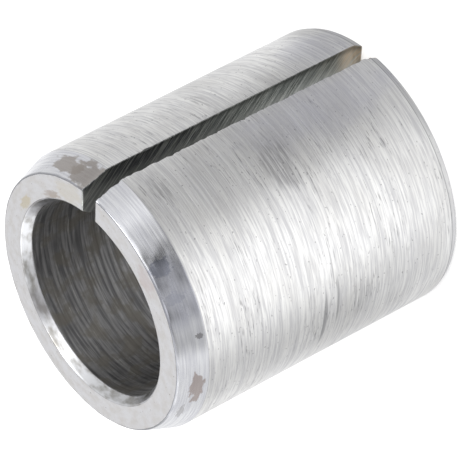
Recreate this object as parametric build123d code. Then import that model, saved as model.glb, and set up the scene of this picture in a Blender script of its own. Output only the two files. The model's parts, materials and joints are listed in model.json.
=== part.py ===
from build123d import *
import math
import os

# Split taper bush: one turned and sawn piece of steel. The part stands on its
# big end, with the axis on Z, the big end at Z = 0 and the small end on top.
# All sizes are in millimetres, all angles in degrees.

# ---------------------------------------------------------------- sizes
# body
length = 20.0                  # over both faces
small_end_diameter = 17.1      # where the taper meets the lead at the small end
taper_ratio = 100.0            # the diameter grows 1 in 100 towards the big end

# lead at the small end, which starts the bush in its housing
lead_length = 1.75             # along the axis
lead_angle = 20.0              # from the axis

# turned edge at the big end
edge_length = 0.4              # along the axis
edge_angle = 20.0              # from the axis

# bore, with a countersink at each end
bore_diameter = 12.0
countersink_width = 0.37       # of the conical band, across the end face
countersink_depth = 0.55       # along the axis

# lengthwise saw cut, sprung open a little at the big end
slot_width_small_end = 1.14
slot_width_big_end = 1.25
slot_side = -90.0              # direction of the cut round Z: -90 is towards -Y

# how far a cutting tool runs past the surface it cuts
overrun = 2.0

# ---------------------------------------------------------------- derived sizes
bore_radius = bore_diameter / 2
mouth_radius = bore_radius + countersink_width
taper_length = length - lead_length - edge_length
shoulder_radius = small_end_diameter / 2
heel_radius = shoulder_radius + taper_length / (2 * taper_ratio)
small_face_radius = shoulder_radius - lead_length * math.tan(math.radians(lead_angle))
big_face_radius = heel_radius - edge_length * math.tan(math.radians(edge_angle))


# ---------------------------------------------------------------- the bush
def turned_blank():
    """The bush as it leaves the lathe: tapered outside, bored and countersunk."""
    half_section = Polyline(
        (mouth_radius, 0, 0),
        (big_face_radius, 0, 0),
        (heel_radius, 0, edge_length),
        (shoulder_radius, 0, length - lead_length),
        (small_face_radius, 0, length),
        (mouth_radius, 0, length),
        (bore_radius, 0, length - countersink_depth),
        (bore_radius, 0, countersink_depth),
        close=True,
    )
    return revolve(make_face(half_section), axis=Axis.Z)


def saw_cut():
    """The lengthwise cut through one wall, from the axis outwards."""
    # the sides spread evenly from the small end to the big end
    spread_per_mm = (slot_width_big_end - slot_width_small_end) / length
    half_at_bottom = (slot_width_big_end + overrun * spread_per_mm) / 2
    half_at_top = (slot_width_small_end - overrun * spread_per_mm) / 2
    seen_along_cut = Polyline(
        (0, -half_at_bottom, -overrun),
        (0, half_at_bottom, -overrun),
        (0, half_at_top, length + overrun),
        (0, -half_at_top, length + overrun),
        close=True,
    )
    reach = heel_radius + overrun
    cutter = extrude(make_face(seen_along_cut), amount=reach, dir=(1, 0, 0))
    return Rot(0, 0, slot_side) * cutter


def taper_bush():
    """The finished bush."""
    bush = turned_blank() - saw_cut()
    return bush.solids()[0]


# ---------------------------------------------------------------- files
os.makedirs("parts", exist_ok=True)
export_step(taper_bush(), "parts/taper_bush.step")
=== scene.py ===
import json
import math

import bmesh
import bpy
from mathutils import Matrix, Vector, noise


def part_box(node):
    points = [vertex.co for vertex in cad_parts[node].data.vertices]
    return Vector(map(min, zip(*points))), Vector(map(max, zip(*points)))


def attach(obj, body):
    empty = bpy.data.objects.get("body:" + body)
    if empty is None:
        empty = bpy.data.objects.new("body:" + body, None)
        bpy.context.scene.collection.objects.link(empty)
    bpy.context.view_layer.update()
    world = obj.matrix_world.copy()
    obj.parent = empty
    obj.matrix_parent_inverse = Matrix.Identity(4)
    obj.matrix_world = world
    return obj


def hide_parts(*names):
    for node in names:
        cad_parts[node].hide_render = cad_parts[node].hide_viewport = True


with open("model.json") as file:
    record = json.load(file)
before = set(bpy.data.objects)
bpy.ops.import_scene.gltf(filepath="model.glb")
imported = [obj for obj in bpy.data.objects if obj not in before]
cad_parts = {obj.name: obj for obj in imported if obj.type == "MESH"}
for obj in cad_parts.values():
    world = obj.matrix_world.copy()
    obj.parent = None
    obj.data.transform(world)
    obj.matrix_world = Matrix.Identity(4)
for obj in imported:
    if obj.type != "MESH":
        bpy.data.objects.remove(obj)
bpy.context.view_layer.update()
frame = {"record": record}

# A split taper bush of bright zinc plated steel. It stands on its big end: the
# small end is on top, the bore is on Z and the saw cut faces -Y. Sizes are in
# millimetres until they reach a mesh, a material's relief, a lamp or the camera.
# Angles round Z start at the saw cut and grow towards -X.
MM = 0.001

# ---------------------------------------------------------------- sizes
low, high = (Vector(corner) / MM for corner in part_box("taper_bush"))
mounts = {mount["name"]: mount for mount in frame["record"]["mounts"]}
length = high.z - low.z
heel_radius = (high.x - low.x) / 2
bore_radius = mounts["bore"]["dims"]["r_mm"]
mouth_depth = (length - mounts["bore"]["dims"]["length_mm"]) / 2

lead_length = 1.75                 # conical lead at the small end
heel_length = 0.4                  # turned edge at the big end
edge_slope = math.tan(math.radians(20))        # of the lead and of the turned edge
taper_slope = 1 / 200              # 1 in 100 on the diameter
mouth_width = 0.37                 # countersink, across the face
cut_at_small_end = 1.14            # width of the saw cut
cut_at_big_end = 1.25
shoulder = length - lead_length    # height where the taper meets the lead
face_radius = heel_radius - (shoulder - heel_length) * taper_slope - lead_length * edge_slope

# broken edges, as a deburring tool and years of handling leave them
face_edge = 0.07                   # outside of the small end's face
heel_edge = 0.03                   # outside of the big end's face
mouth_edge = 0.05
outer_lip_edge = 0.06
inner_lip_edge = 0.042
bend_blend = 0.05 * edge_slope     # softening of the shoulder and the heel
mouth_blend = 0.03

# how the saw left its cut
lip_wave = 0.012                   # unevenness of both lips
chip_depth = 0.11                  # chips in the lip towards -X
aslant_minus_x = 0.13              # how far each wall leans over the whole length
aslant_plus_x = 0.09
burr_width = 0.24                  # burr on the wall towards +X, at the big end
burr_length = 0.8
broken_corner = 0.24               # corner broken off the lip towards -X
broken_length = 0.75
torn_lip = 0.16
nick_height = 15.5                 # nick in the lip towards +X
nick_half = 0.3
saw_slant = -0.9                   # saw marks climb to the small end as they go in
ridge_height = 0.014

# marks left by the lathe and by wear
tool_line_depth = 0.012
tool_line_half = 0.09
face_wear = 0.03
heel_wear = 0.008
wear_depth = 0.16


# ---------------------------------------------------------------- section of the wall
def eased_min(a, b, blend):
    """The smaller of two values, with the change from one to the other rounded."""
    share = max(blend - abs(a - b), 0) / blend
    return min(a, b) - share * share * blend / 4


def drawn_back(depth, radius):
    """How far a rounded edge has drawn back, this far in from the end face."""
    if depth >= radius:
        return 0.0
    return radius - math.sqrt(max(radius * radius - (radius - depth) ** 2, 0))


def outside_radius(z):
    """Radius of the outside: turned edge, taper and lead."""
    taper = heel_radius - (z - heel_length) * taper_slope
    lead = face_radius + (length - z) * edge_slope
    heel = heel_radius - (heel_length - z) * edge_slope
    radius = eased_min(eased_min(taper, lead, bend_blend), heel, bend_blend)
    return radius - drawn_back(z, heel_edge) - drawn_back(length - z, face_edge)


def inside_radius(z):
    """Radius of the bore, with its countersunk mouths."""
    depth = min(z, length - z)
    mouth = bore_radius + mouth_width * (1 - depth / mouth_depth)
    return -eased_min(-mouth, -bore_radius, mouth_blend) + drawn_back(depth, mouth_edge)


def unevenness(z, side):
    """Unevenness of a sawn lip, from -1 to 1, in steps as the saw's teeth tear it."""
    coarse = noise.noise(Vector((z * 1.9, side * 7.3, 2.1)))
    fine = noise.noise(Vector((z * 6.5, side * 3.1, 8.4)))
    return 0.6 * coarse + 0.6 * fine


def half_cut(z, side):
    """Half of the saw cut's width on one side: -1 is towards +X, 1 towards -X."""
    share_up = z / length
    even = cut_at_big_end + (cut_at_small_end - cut_at_big_end) * share_up
    half = even / 2 + drawn_back(min(z, length - z), outer_lip_edge) + lip_wave * unevenness(z, side)
    if side > 0:
        chip = max(0, noise.noise(Vector((z * 5.2, 3.3, 6.1))) - 0.05)
        return half - aslant_minus_x * share_up + chip_depth * chip
    burr = burr_width * max(0, 1 - z / burr_length) ** 2
    return half + aslant_plus_x * share_up - burr


def lip_rounding(z, side):
    """Rounding of the outer lip, with its nick, its torn places and its broken corner."""
    if side < 0:
        nick = max(0, 1 - ((z - nick_height) / nick_half) ** 2)
        return outer_lip_edge * (1 + 0.5 * unevenness(z, side) + 1.2 * nick)
    torn = torn_lip * max(0, noise.noise(Vector((z * 2.6, 4.4, 0.7))))
    broken = broken_corner * max(0, 1 - z / broken_length) ** 0.6
    return outer_lip_edge * (1.1 + 0.4 * unevenness(z, side)) + torn + broken


def tool_line(z, angle):
    """Depth of the shallow line that a tool scored near the big end, on both sides of the cut."""
    turn = math.degrees(angle)
    if 7 < turn < 31:
        line_height = 1.58
    elif -27 < turn < -5:
        line_height = 1.08
    else:
        return 0.0
    return tool_line_depth * max(0, 1 - ((z - line_height) / tool_line_half) ** 2)


def edge_wear(z, angle):
    """How far an end face's outer edge is worn back, unevenly round the turn."""
    at_heel = z < length / 2
    depth = z if at_heel else length - z
    where = Vector((math.sin(angle) * 9, math.cos(angle) * 9, 0.5 if at_heel and z > 0 else 7.5))
    reach = heel_wear if at_heel and z > 0 else face_wear
    return reach * (0.5 + noise.noise(where)) * max(0, 1 - depth / wear_depth)


def saw_ridge(y, z, side):
    """Ridges that the saw's teeth left across a wall, slanting to the small end with depth."""
    slanted = z + saw_slant * y
    coarse = noise.noise(Vector((slanted * 2.4, side * 5, 1.3)))
    fine = noise.noise(Vector((slanted * 6, y, side)))
    return ridge_height * (coarse + 0.5 * fine)


# ---------------------------------------------------------------- rings of points
around_count = 170                 # points from lip to lip
wall_count = 14                    # points across a sawn wall
corner_count = 5                   # points round a lip
ring_spacing = 0.15                # between rings, away from the edges
least_spacing = 0.003
edge_steps = (0, 0.004, 0.016, 0.036, 0.07, 0.12, 0.2)
bend_steps = (-0.09, -0.045, -0.02, 0, 0.02, 0.045, 0.09)


def ring_heights():
    """Heights of the rings, close together at the edges and the bends."""
    rows = set()
    for depth in edge_steps:
        rows.update((depth, length - depth))
    for bend in (heel_length, mouth_depth, length - mouth_depth, shoulder):
        rows.update(bend + step for step in bend_steps)
    count = round(length / ring_spacing)
    rows.update(length * i / count for i in range(1, count))
    spaced = []
    for row in sorted(rows):
        if not spaced or row - spaced[-1] > least_spacing:
            spaced.append(row)
    spaced[-1] = length
    return spaced


def turn_of(x, y):
    """Angle round Z of a point, from the saw cut towards -X."""
    return math.atan2(-x, -y)


def arc_points(radius, start, end):
    """Points on a circle round Z, from one lip to the other."""
    for i in range(around_count):
        angle = start + (end - start) * i / (around_count - 1)
        yield -math.sin(angle) * radius, -math.cos(angle) * radius


def lip(radius, half, side, inward, size):
    """The rounded corner between a sawn wall and a turned surface, wall end first."""
    reach = radius + size if inward else radius - size
    x = half + size
    y = math.sqrt(reach * reach - x * x)
    start = -math.pi if inward else math.pi
    end = math.atan2(y, x) - (math.pi if inward else 0)
    points = []
    for i in range(corner_count):
        angle = start + (end - start) * i / (corner_count - 1)
        points.append((-side * (x + size * math.cos(angle)), -(y + size * math.sin(angle))))
    return points


def sawn_wall(outer_lip, inner_lip, z):
    """From the outside to the bore over one sawn wall, both lips rounded."""
    points = [(x, y, "lip") for x, y in reversed(outer_lip[:-1])]
    (outer_x, outer_y), (inner_x, inner_y) = outer_lip[0], inner_lip[0]
    for i in range(1, wall_count):
        share = i / wall_count
        x = outer_x + (inner_x - outer_x) * share
        y = outer_y + (inner_y - outer_y) * share
        points.append((x + saw_ridge(y, z, math.copysign(1, -x)), y, "wall"))
    return points + [(x, y, "lip") for x, y in inner_lip[:-1]]


def ring(z, inset=0.0):
    """One closed ring round the split wall, as (x, y, zone)."""
    outer = outside_radius(z) - inset
    inner = inside_radius(z) + inset
    outer_lips = {}
    inner_lips = {}
    for side in (1, -1):
        half = half_cut(z, side) + inset
        outer_lips[side] = lip(outer, half, side, False, lip_rounding(z, side))
        inner_lips[side] = lip(inner, half, side, True, inner_lip_edge)

    full_turn = 2 * math.pi
    start, end = turn_of(*outer_lips[1][-1]), turn_of(*outer_lips[-1][-1]) + full_turn
    points = []
    for x, y in arc_points(outer, start, end):
        angle = turn_of(x, y)
        kept = 1 - (tool_line(z, angle) + edge_wear(z, angle)) / outer
        points.append((x * kept, y * kept, "outside"))
    points += sawn_wall(outer_lips[-1], inner_lips[-1], z)
    start, end = turn_of(*inner_lips[-1][-1]) + full_turn, turn_of(*inner_lips[1][-1])
    points += [(x, y, "inside") for x, y in arc_points(inner, start, end)]
    return points + list(reversed(sawn_wall(outer_lips[1], inner_lips[1], z)))


# ---------------------------------------------------------------- nodes and colours
EASED = {"interpolation_type": "SMOOTHSTEP"}


def colour(code):
    """An sRGB hex value as the linear colour that a shader takes."""
    parts = (int(code[i:i + 2], 16) / 255 for i in (1, 3, 5))
    linear = [p / 12.92 if p <= 0.04045 else ((p + 0.055) / 1.055) ** 2.4 for p in parts]
    return (*linear, 1.0)


def add(tree, kind, inputs=None, **settings):
    """Adds a node with its settings and inputs.

    An input is named, or counted among those in use. It is a value, a hex
    colour, a socket, or a node, which stands for its first output in use.
    """
    node = tree.nodes.new("ShaderNode" + kind)
    for name, value in settings.items():
        setattr(node, name, value)
    used = [socket for socket in node.inputs if socket.enabled]
    for name, value in (inputs or {}).items():
        socket = used[name] if isinstance(name, int) else next(s for s in used if s.name == name)
        if isinstance(value, bpy.types.Node):
            value = next(s for s in value.outputs if s.enabled)
        if isinstance(value, bpy.types.NodeSocket):
            tree.links.new(value, socket)
        else:
            socket.default_value = colour(value) if isinstance(value, str) else value
    return node


def new_material(name):
    """An empty material and its node tree."""
    material = bpy.data.materials.new(name)
    material.use_nodes = True
    material.node_tree.nodes.clear()
    return material, material.node_tree


# ---------------------------------------------------------------- patterns in real sizes
mean_radius = 8.6                  # at which the way round is measured


def place_in_mm(tree):
    """The place on the bush as X, Y and Z in mm."""
    place = add(tree, "TexCoord").outputs["Object"]
    return add(tree, "VectorMath", {0: place, "Scale": 1 / MM}, operation="SCALE")


def rolled_out(tree, upward="Z"):
    """The skin laid flat in mm: way round, then height or radius as asked, then the other of the two."""
    split = add(tree, "SeparateXYZ", {0: place_in_mm(tree)})
    x, y, z = split.outputs
    flat = add(tree, "CombineXYZ", {"X": x, "Y": y})
    radius = add(tree, "VectorMath", {0: flat}, operation="LENGTH")
    turn = add(tree, "Math", {0: x, 1: y}, operation="ARCTAN2")
    turn = add(tree, "Math", {0: turn, 1: math.pi}, operation="ADD")
    around = add(tree, "Math", {0: turn, 1: mean_radius}, operation="MULTIPLY")
    second, third = (z, radius) if upward == "Z" else (radius, z)
    return add(tree, "CombineXYZ", {"X": around, "Y": second, "Z": third})


def grain(tree, skin, around, up, detail=2.0, seed=0.0):
    """Noise whose grains are this long round the turn and this high, in mm."""
    sizes = (1 / around, 1 / up, 1)
    sized = add(tree, "VectorMath", {0: skin, 1: sizes, 2: (seed, 0, 0)}, operation="MULTIPLY_ADD")
    return add(tree, "TexNoise", {"Vector": sized, "Scale": 1.0, "Detail": detail})


def mark(tree, skin, turn, up, half_around, half_up, uneven, soft):
    """Mask of one mark: an uneven oval, so many degrees round from the cut, sizes in mm."""
    centre = (math.radians(turn) * mean_radius, up, 0)
    offset = add(tree, "VectorMath", {0: skin, 1: centre}, operation="SUBTRACT")
    sized = add(tree, "VectorMath", {0: offset, 1: (1 / half_around, 1 / half_up, 0)}, operation="MULTIPLY")
    distance = add(tree, "VectorMath", {0: sized}, operation="LENGTH")
    wobble = grain(tree, skin, half_around * 0.6, half_up * 0.6, 3.0, turn)
    bent = add(tree, "Math", {0: wobble, 1: 4 * uneven, 2: distance}, operation="MULTIPLY_ADD")
    rim = 1 + 2 * uneven
    return add(tree, "MapRange", {0: bent, 1: rim + soft / 2, 2: rim - soft / 2}, **EASED)


def laid_over(tree, base, tint, where, share=1.0):
    """A colour with another laid over it, as thickly as a mask and a share say."""
    amount = add(tree, "Math", {0: where, 1: share}, operation="MULTIPLY")
    return add(tree, "Mix", {"Factor": amount, "A": base, "B": tint}, data_type="RGBA")


def marked(tree, skin, base, marks, uneven, soft, streaked=False):
    """A colour with marks on it.

    Each has its angle and height, half its length and height, share and tint.
    """
    for turn, up, half_around, half_up, share, tint in marks:
        spot = mark(tree, skin, turn, up, half_around, half_up, uneven, soft)
        if streaked:
            lines = grain(tree, skin, 1.4, 0.1, 2.0, turn)
            streaks = add(tree, "MapRange", {0: lines, 1: 0.35, 2: 0.6}, **EASED)
            spot = add(tree, "Math", {0: spot, 1: streaks}, operation="MULTIPLY")
        base = laid_over(tree, base, tint, spot, share)
    return base


def metal(tree, base, roughness, height, relief, grooved=0.0):
    """Bare or plated metal. Relief is the depth in mm of the height pattern."""
    bump = add(tree, "Bump", {"Strength": 1.0, "Distance": relief * MM, "Height": height})
    values = {"Base Color": base, "Metallic": 1.0, "Roughness": roughness, "Normal": bump}
    if grooved:
        # grooves run round Z, so gloss is drawn out along the axis
        tangent = add(tree, "Tangent", direction_type="RADIAL", axis="Z")
        values.update({"Anisotropic": grooved, "Anisotropic Rotation": 0.25, "Tangent": tangent})
    shader = add(tree, "BsdfPrincipled", values)
    add(tree, "OutputMaterial", {"Surface": shader})


# ---------------------------------------------------------------- materials
def turned_zinc_plate():
    """Zinc plated steel, fine turned: bright, with rings of tool marks that draw the gloss out."""
    material, tree = new_material("turned_zinc_plate")
    skin = rolled_out(tree)
    height = add(tree, "SeparateXYZ", {0: skin}).outputs["Y"]

    # the feed of the finishing cut is about 0.08 mm a turn, drawn a little coarser to show; the grooves are
    # painted darker than the crests, partly their own tone and partly painted shade in the grooves
    fine = grain(tree, skin, 1.5, 0.085)
    long = grain(tree, skin, 5.0, 0.12, 2.0, 5.0)
    rings = add(tree, "Math", {0: long, 1: 0.8, 2: fine}, operation="MULTIPLY_ADD")
    # darker grooves, lighter crests: partly painted groove shade
    crests = add(tree, "MapRange", {0: rings, 1: 0.65, 2: 1.15}, **EASED)
    base = laid_over(tree, "#D9D9DB", "#FBFBFA", crests)
    cloud = grain(tree, skin, 3.0, 2.2, 3.0, 11.0)
    cloudy = add(tree, "MapRange", {0: cloud, 1: 0.35, 2: 0.75}, **EASED)
    base = laid_over(tree, base, "#D2D0CC", cloudy, 0.25)

    # short dark streaks, thickest where the bush has rubbed, and a few specks
    streaks = add(tree, "MapRange", {0: grain(tree, skin, 0.9, 0.075, 1.0, 31.0), 1: 0.6, 2: 0.72}, **EASED)
    worn = grain(tree, skin, 4.0, 1.6, 2.0, 21.0)
    rubbed = add(tree, "MapRange", {0: worn, 1: 0.42, 2: 0.7, 3: 0.05, 4: 0.6}, **EASED)
    rubbed_streaks = add(tree, "Math", {0: streaks, 1: rubbed}, operation="MULTIPLY")
    base = laid_over(tree, base, "#77767A", rubbed_streaks)
    specks = add(tree, "MapRange", {0: grain(tree, skin, 0.16, 0.12, 0.0, 41.0), 1: 0.78, 2: 0.84}, **EASED)
    base = laid_over(tree, base, "#6E6E72", specks, 0.5)

    # the turned edge at the big end is painted darker as painted shade of its tilted band, and lines of
    # painted shade mark it off and the lead
    in_heel = add(tree, "MapRange", {0: height, 1: 0.42, 2: 0.36}, **EASED)
    base = laid_over(tree, base, "#BDBFC3", in_heel, 0.3)
    # lines of painted shade at the heel's bend and at the shoulder
    for line_height, half_line, share in ((0.42, 0.05, 0.65), (shoulder, 0.06, 0.45)):
        away = add(tree, "Math", {0: height, 1: line_height}, operation="SUBTRACT")
        away = add(tree, "Math", {0: away}, operation="ABSOLUTE")
        line = add(tree, "MapRange", {0: away, 1: half_line, 2: 0.0}, **EASED)
        base = laid_over(tree, base, "#77787E", line, share)

    lavender_tints = (
        (13, 5.5, 1.6, 5.0, 0.22, "#BEBFD9"),
        (346, 2.3, 1.6, 1.8, 0.2, "#BEBFD9"),
    )
    rubbed_places = (
        (27, 9.7, 1.7, 1.0, 0.45, "#86858A"),
        (14, 16.7, 1.1, 0.5, 0.45, "#8E8D92"),
        (93, 7.3, 1.2, 0.8, 0.25, "#8A898A"),
        (57, 4.2, 0.1, 0.08, 0.7, "#6A6A6C"),
        (344, 10.2, 1.3, 0.25, 0.3, "#98979B"),
    )
    scuffs = (
        (95, 9.85, 1.9, 0.14, 0.6, "#85858A"),
        (88, 8.95, 1.6, 0.09, 0.5, "#85858A"),
        (70, 9.2, 1.5, 0.05, 0.35, "#85858A"),
    )
    base = marked(tree, skin, base, lavender_tints, 0.4, 1.4)
    base = marked(tree, skin, base, rubbed_places, 0.4, 0.8, streaked=True)
    base = marked(tree, skin, base, scuffs, 0.16, 0.7)

    roughness = add(tree, "MapRange", {0: fine, 1: 0.25, 2: 0.75, 3: 0.44, 4: 0.34}, **EASED)
    metal(tree, base, roughness, rings, 0.01, 0.7)
    return material


def lead_zinc_plate():
    """Zinc plated steel, turned with a finer feed: smooth enough to mirror, with stains of the plating and
    painted reflections of a dark part of the room.
    """
    material, tree = new_material("lead_zinc_plate")
    skin = rolled_out(tree)
    height = add(tree, "SeparateXYZ", {0: skin}).outputs["Y"]
    fine = grain(tree, skin, 2.5, 0.09, 2.0, 3.0)
    cloud = grain(tree, skin, 1.2, 0.5, 4.0, 7.0)
    crests = add(tree, "MapRange", {0: fine, 1: 0.3, 2: 0.7}, **EASED)
    base = laid_over(tree, "#D9DAE0", "#EFF0F3", crests)
    cloudy = add(tree, "MapRange", {0: cloud, 1: 0.4, 2: 0.8}, **EASED)
    base = laid_over(tree, base, "#C6C7D0", cloudy, 0.35)
    # stains of the plating, and two painted dark reflections at 41.5 and 54.5 degrees
    stains = (
        (338, 19.1, 1.6, 0.55, 0.8, "#A39C96"),    # dull stain that runs to the cut
        (350, 19.2, 1.3, 0.75, 0.8, "#A39C96"),
        (97, 18.9, 1.05, 0.42, 0.75, "#A59690"),   # pink brown stain
        (72, 18.6, 0.16, 0.2, 0.6, "#6E6A6A"),
        (41.5, 19.35, 0.5, 0.6, 0.6, "#7A8298"),   # blue black patches: painted reflection of a dark part of the room
        (54.5, 19.3, 0.35, 0.5, 0.35, "#8E95A8"),
        (112, 19.4, 0.7, 0.2, 0.35, "#77716C"),
    )
    # a broad greying of the lead: painted reflection of a dark part of the room
    dark_reflection_patch = ((53, 19.1, 2.1, 1.6, 0.5, "#B3B5C2"),)
    base = marked(tree, skin, base, stains, 0.5, 0.3)
    base = marked(tree, skin, base, dark_reflection_patch, 0.1, 0.5)

    # a thin uneven line of painted shade where the lead meets the face
    rim = add(tree, "Math", {0: cloud, 1: 0.08, 2: height}, operation="MULTIPLY_ADD")
    line = add(tree, "MapRange", {0: rim, 1: length - 0.06, 2: length + 0.01}, **EASED)
    base = laid_over(tree, base, "#6F7076", line, 0.7)
    roughness = add(tree, "MapRange", {0: cloud, 1: 0.3, 2: 0.8, 3: 0.16, 4: 0.3}, **EASED)
    metal(tree, base, roughness, fine, 0.003, 0.3)
    return material


def faced_zinc_plate():
    """Zinc plated steel, faced off: satin, with pits, and yellow where the plating liquor dried."""
    material, tree = new_material("faced_zinc_plate")
    skin = rolled_out(tree, "radius")
    radius = add(tree, "SeparateXYZ", {0: skin}).outputs["Y"]
    fine = grain(tree, skin, 3.0, 0.1)
    cloud = grain(tree, skin, 1.0, 0.6, 4.0, 4.0)
    pits = add(tree, "MapRange", {0: grain(tree, skin, 0.22, 0.16, 1.0, 9.0), 1: 0.72, 2: 0.78}, **EASED)
    cloudy = add(tree, "MapRange", {0: cloud, 1: 0.3, 2: 0.75}, **EASED)
    base = laid_over(tree, "#ECECEF", "#D6D4D3", cloudy)
    stains = (
        (300, 6.8, 0.9, 0.3, 0.5, "#CDBE93"),
        (329, 6.6, 0.9, 0.25, 0.5, "#A08C78"),
        (345, 7.1, 1.4, 0.6, 0.35, "#DDD6C4"),
        (44, 7.2, 0.9, 0.6, 0.35, "#C9B6B2"),
    )
    base = marked(tree, skin, base, stains, 0.5, 0.7)
    base = laid_over(tree, base, "#6C6A68", pits, 0.6)

    # a line of painted shade where the face meets the lead
    rim = add(tree, "Math", {0: cloud, 1: 0.3, 2: radius}, operation="MULTIPLY_ADD")
    line = add(tree, "MapRange", {0: rim, 1: 7.93, 2: 8.03}, **EASED)
    base = laid_over(tree, base, "#8A8A8C", line, 0.55)
    pitted = add(tree, "Math", {0: pits, 1: -1.5, 2: fine}, operation="MULTIPLY_ADD")
    roughness = add(tree, "MapRange", {0: cloud, 1: 0.3, 2: 0.8, 3: 0.4, 4: 0.52}, **EASED)
    metal(tree, base, roughness, pitted, 0.004)
    return material


def countersunk_zinc_plate():
    """Zinc plated steel, countersunk by a keen tool: brighter than the bore, with smudges."""
    material, tree = new_material("countersunk_zinc_plate")
    skin = rolled_out(tree)
    rings = grain(tree, skin, 3.0, 0.08)
    cloud = grain(tree, skin, 1.4, 0.4, 4.0, 2.0)
    cloudy = add(tree, "MapRange", {0: cloud, 1: 0.4, 2: 0.7}, **EASED)
    base = laid_over(tree, "#CBCCCF", "#8F8D89", cloudy)
    mouth_height = length - 0.3
    smudges = (
        (232, mouth_height, 1.6, 0.5, 0.45, "#77757A"),
        (302, mouth_height, 1.6, 0.5, 0.4, "#77757A"),
        (318, mouth_height, 1.6, 0.5, 0.4, "#77757A"),
    )
    base = marked(tree, skin, base, smudges, 0.4, 0.9)
    metal(tree, base, 0.3, rings, 0.003, 0.3)
    return material


def bored_zinc_plate():
    """Zinc plated steel, bored, where the plate is thin: dull grey, with rings and bright scratches."""
    material, tree = new_material("bored_zinc_plate")
    skin = rolled_out(tree)
    rings = grain(tree, skin, 5.0, 0.2, 3.0)
    cloud = grain(tree, skin, 1.8, 1.3, 5.0, 6.0)
    crests = add(tree, "MapRange", {0: rings, 1: 0.35, 2: 0.65}, **EASED)
    base = laid_over(tree, "#97979A", "#DADADB", crests)
    cloudy = add(tree, "MapRange", {0: cloud, 1: 0.45, 2: 0.62}, **EASED)
    base = laid_over(tree, base, "#99948A", cloudy, 0.75)
    scratches = add(tree, "MapRange", {0: grain(tree, skin, 3.5, 0.09, 1.0, 15.0), 1: 0.62, 2: 0.74}, **EASED)
    patches = add(tree, "MapRange", {0: grain(tree, skin, 1.6, 0.9, 3.0, 25.0), 1: 0.45, 2: 0.65}, **EASED)
    scratched = add(tree, "Math", {0: scratches, 1: patches}, operation="MULTIPLY")
    base = laid_over(tree, base, "#F2F2EF", scratched)
    roughness = add(tree, "MapRange", {0: cloud, 1: 0.3, 2: 0.8, 3: 0.3, 4: 0.46}, **EASED)
    metal(tree, base, roughness, rings, 0.014, 0.4)
    return material


def sawn_steel():
    """Steel with little plate, sawn: dark and scored by the teeth, tan towards the big end."""
    material, tree = new_material("sawn_steel")
    x, y, z = add(tree, "SeparateXYZ", {0: place_in_mm(tree)}).outputs
    slanted = add(tree, "Math", {0: y, 1: saw_slant, 2: z}, operation="MULTIPLY_ADD")
    across = add(tree, "CombineXYZ", {"X": y, "Y": slanted, "Z": x})
    score = grain(tree, across, 1.6, 0.12)
    coarse = grain(tree, across, 3.0, 0.4, 2.0, 8.0)
    tooth_marks = add(tree, "Math", {0: coarse, 1: 1.5, 2: score}, operation="MULTIPLY_ADD")

    further_down = add(tree, "MapRange", {0: z, 1: 14.5, 2: 8.0}, **EASED)
    base = laid_over(tree, "#66686B", "#949896", further_down)
    # tan towards the big end
    tan_towards_big_end = add(tree, "MapRange", {0: z, 1: 1.9, 2: 0.9}, **EASED)
    base = laid_over(tree, base, "#EADBC6", tan_towards_big_end)
    bright_scores = add(tree, "MapRange", {0: score, 1: 0.45, 2: 0.65}, **EASED)
    base = laid_over(tree, base, "#D9DBD6", bright_scores, 0.7)
    # painted shade along the outer lip, fading to a lighter tone deeper in
    at_lip = add(tree, "MapRange", {0: y, 1: -8.1, 2: -8.5}, **EASED)
    base = laid_over(tree, base, "#4A4B48", at_lip, 0.55)
    deeper_in = add(tree, "MapRange", {0: y, 1: -8.0, 2: -7.2}, **EASED)
    base = laid_over(tree, base, "#DADCD8", deeper_in, 0.4)
    metal(tree, base, 0.42, tooth_marks, 0.02)
    return material


# ---------------------------------------------------------------- the bush
finishes = {
    "turned": turned_zinc_plate(),
    "lead": lead_zinc_plate(),
    "faced": faced_zinc_plate(),
    "mouth": countersunk_zinc_plate(),
    "bore": bored_zinc_plate(),
    "sawn": sawn_steel(),
}
finish_names = list(finishes)


def finish_at(zone, z):
    """Which finish a part of the skin has."""
    if zone == "outside":
        return "lead" if z > shoulder else "turned"
    if zone == "inside":
        return "mouth" if min(z, length - z) < mouth_depth else "bore"
    return "sawn"


def new_ring(bm, z, inset=0.0):
    """A ring of new points in the mesh, each with its zone."""
    return [(bm.verts.new((x * MM, y * MM, z * MM)), zone) for x, y, zone in ring(z, inset)]


def add_band(bm, lower, upper, z, finish=None):
    """The band of faces between two rings."""
    count = len(lower)
    for i in range(count):
        k = (i + 1) % count
        zone = lower[i][1] if lower[i][1] != "lip" else lower[k][1]
        face = bm.faces.new((lower[i][0], lower[k][0], upper[k][0], upper[i][0]))
        face.smooth = True
        face.material_index = finish_names.index(finish or finish_at(zone, z))


def split_taper_bush():
    """The whole bush as one closed skin."""
    bm = bmesh.new()
    levels = ring_heights()
    rings = [new_ring(bm, z) for z in levels]
    for j in range(len(rings) - 1):
        add_band(bm, rings[j], rings[j + 1], (levels[j] + levels[j + 1]) / 2)
    # each end face: a narrow band inside its edge, then one flat face
    for outline, z in ((rings[0], 0.0), (rings[-1], length)):
        inner_outline = new_ring(bm, z, 0.05)
        add_band(bm, outline, inner_outline, z, "faced")
        cap = bm.faces.new([point for point, zone in inner_outline])
        cap.smooth = True
        cap.material_index = finish_names.index("faced")
    bmesh.ops.recalc_face_normals(bm, faces=bm.faces)

    mesh = bpy.data.meshes.new("split_taper_bush")
    bm.to_mesh(mesh)
    bm.free()
    for finish in finishes.values():
        mesh.materials.append(finish)
    bush = bpy.data.objects.new("split_taper_bush", mesh)
    bpy.context.collection.objects.link(bush)
    return bush


bush = split_taper_bush()
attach(bush, "root")
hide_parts("taper_bush")

# ---------------------------------------------------------------- studio
middle = Vector((0, 0, length / 2)) * MM
plain_white = (1, 1, 1, 1)


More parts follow.
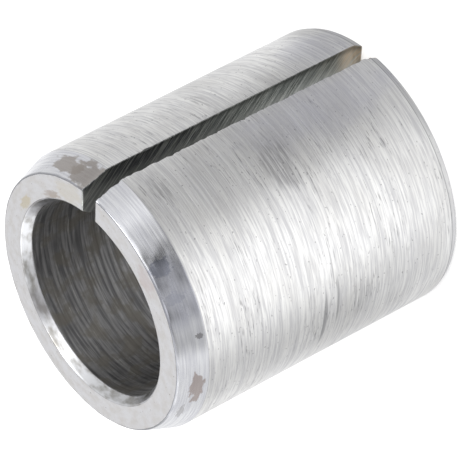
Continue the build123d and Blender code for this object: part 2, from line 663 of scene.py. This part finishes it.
def direction(turn, above):
    """A direction from its angle round Z and its angle above the floor."""
    around, up = math.radians(turn), math.radians(above)
    return Vector((-math.sin(around) * math.cos(up), -math.cos(around) * math.cos(up), math.sin(up)))


# What the bright metal mirrors is a graded room: a plain level, and patches that
# are lighter or darker than it. Each patch has its angle round Z, its angle above
# the floor, the half angle over which it fades out, and what it adds to the level.
# A fitting program chose the patches from a longer list and set their strengths,
# the room's level and the lamp's power, for one view. The rows at 41, 68, 95, 20,
# 160 and 221 degrees were then changed; the rest stand as it gave them.
room_level = 1.05
room_parts = (
    (-5, -45, 45, -0.56),
    (140, -45, 45, -0.36),
    (-75, -8, 38, -0.3),
    (-30, -8, 38, -0.35),
    (15, -12, 30, -0.43),
    (79, -10, 34, 0.35),
    (140, -8, 34, -0.3),
    (185, -14, 38, -0.13),
    (41, 12, 20, -0.75),
    (68, 12, 20, -0.68),
    (95, 14, 26, -0.7),
    (22, 10, 20, -0.38),
    (20, 36, 28, 0.7),
    (160, 34, 40, 1.0),
    (221, 34, 40, -0.4),
)


def room_light(tree, toward):
    """Strength of the light from the room in a direction."""
    total = room_level
    for turn, above, fade, strength in room_parts:
        along = add(tree, "VectorMath", {0: toward, 1: direction(turn, above)}, operation="DOT_PRODUCT")
        edge = math.cos(math.radians(fade))
        part = add(tree, "MapRange", {0: along, 1: edge, 2: 1.0, 3: 0.0, 4: strength}, **EASED)
        total = add(tree, "Math", {0: total, 1: part}, operation="ADD")
    return total


def light_room():
    """The room round the bush. To the camera it is plain white."""
    world = bpy.data.worlds.new("studio")
    bpy.context.scene.world = world
    world.use_nodes = True
    tree = world.node_tree
    tree.nodes.clear()
    toward = add(tree, "TexCoord").outputs["Generated"]
    path = add(tree, "LightPath")
    room = add(tree, "Background", {"Color": plain_white, "Strength": room_light(tree, toward)})
    white = add(tree, "Background", {"Color": plain_white, "Strength": 1.0})
    seen = add(tree, "MixShader", {0: path.outputs["Is Camera Ray"], 1: room, 2: white})
    add(tree, "OutputWorld", {"Surface": seen})


def white_paper():
    """White matt paper, lit past white to the camera, so that the bush's shadow is lost.

    Metal mirrors it as part of the graded room.
    """
    material, tree = new_material("white_paper")
    material.cycles.emission_sampling = "NONE"
    path = add(tree, "LightPath")
    place = add(tree, "TexCoord").outputs["Object"]
    from_middle = add(tree, "VectorMath", {0: place, 1: middle}, operation="SUBTRACT")
    toward = add(tree, "VectorMath", {0: from_middle}, operation="NORMALIZE")
    paper = add(tree, "BsdfDiffuse", {"Color": "#E6E6E6"})
    lift = add(tree, "Emission", {"Color": plain_white, "Strength": 0.28})
    lit_paper = add(tree, "AddShader", {0: paper, 1: lift})
    room = add(tree, "Emission", {"Color": plain_white, "Strength": room_light(tree, toward)})
    gloss, clear = path.outputs["Is Glossy Ray"], path.outputs["Is Transmission Ray"]
    mirrored = add(tree, "Math", {0: gloss, 1: clear}, operation="MAXIMUM")
    seen = add(tree, "MixShader", {0: path.outputs["Is Camera Ray"], 1: paper, 2: lit_paper})
    seen = add(tree, "MixShader", {0: mirrored, 1: seen, 2: room})
    add(tree, "OutputMaterial", {"Surface": seen})
    return material


def lay_floor():
    """A flat sheet of paper under the bush, in metres."""
    half = 0.6
    mesh = bpy.data.meshes.new("floor")
    corners = [(-half, -half, 0), (half, -half, 0), (half, half, 0), (-half, half, 0)]
    mesh.from_pydata(corners, [], [(0, 1, 2, 3)])
    mesh.materials.append(white_paper())
    floor = bpy.data.objects.new("floor", mesh)
    bpy.context.collection.objects.link(floor)


def hang_soft_box():
    """A square soft box overhead, a little towards the cut. In metres and watts."""
    data = bpy.data.lights.new("overhead soft box", "AREA")
    data.size = 0.35
    data.energy = 1.8
    soft_box = bpy.data.objects.new("overhead soft box", data)
    soft_box.location = middle + direction(-10, 62) * 0.6
    soft_box.rotation_euler = (middle - soft_box.location).to_track_quat("-Z", "Y").to_euler()
    bpy.context.collection.objects.link(soft_box)


camera_lens = 302.6
camera_distance = 220.634
camera_aim = Vector((-0.0049, -0.1037, 9.8555))
camera_roll = -117.341


def set_camera():
    """A long lens, above and beside the cut, rolled so that the small end points down to the left."""
    data = bpy.data.cameras.new("camera")
    data.lens = camera_lens
    data.sensor_width = 36
    data.clip_start = 0.01
    camera = bpy.data.objects.new("camera", data)
    bpy.context.collection.objects.link(camera)
    bpy.context.scene.camera = camera
    toward_camera = direction(40.78, 29.485)
    camera.location = camera_aim * MM + toward_camera * camera_distance * MM
    upright = (-toward_camera).to_track_quat("-Z", "Y").to_matrix()
    rolled = upright @ Matrix.Rotation(math.radians(camera_roll), 3, "Z")
    camera.rotation_euler = rolled.to_euler()


light_room()
lay_floor()
hang_soft_box()
set_camera()
bpy.context.scene.view_settings.view_transform = "Standard"
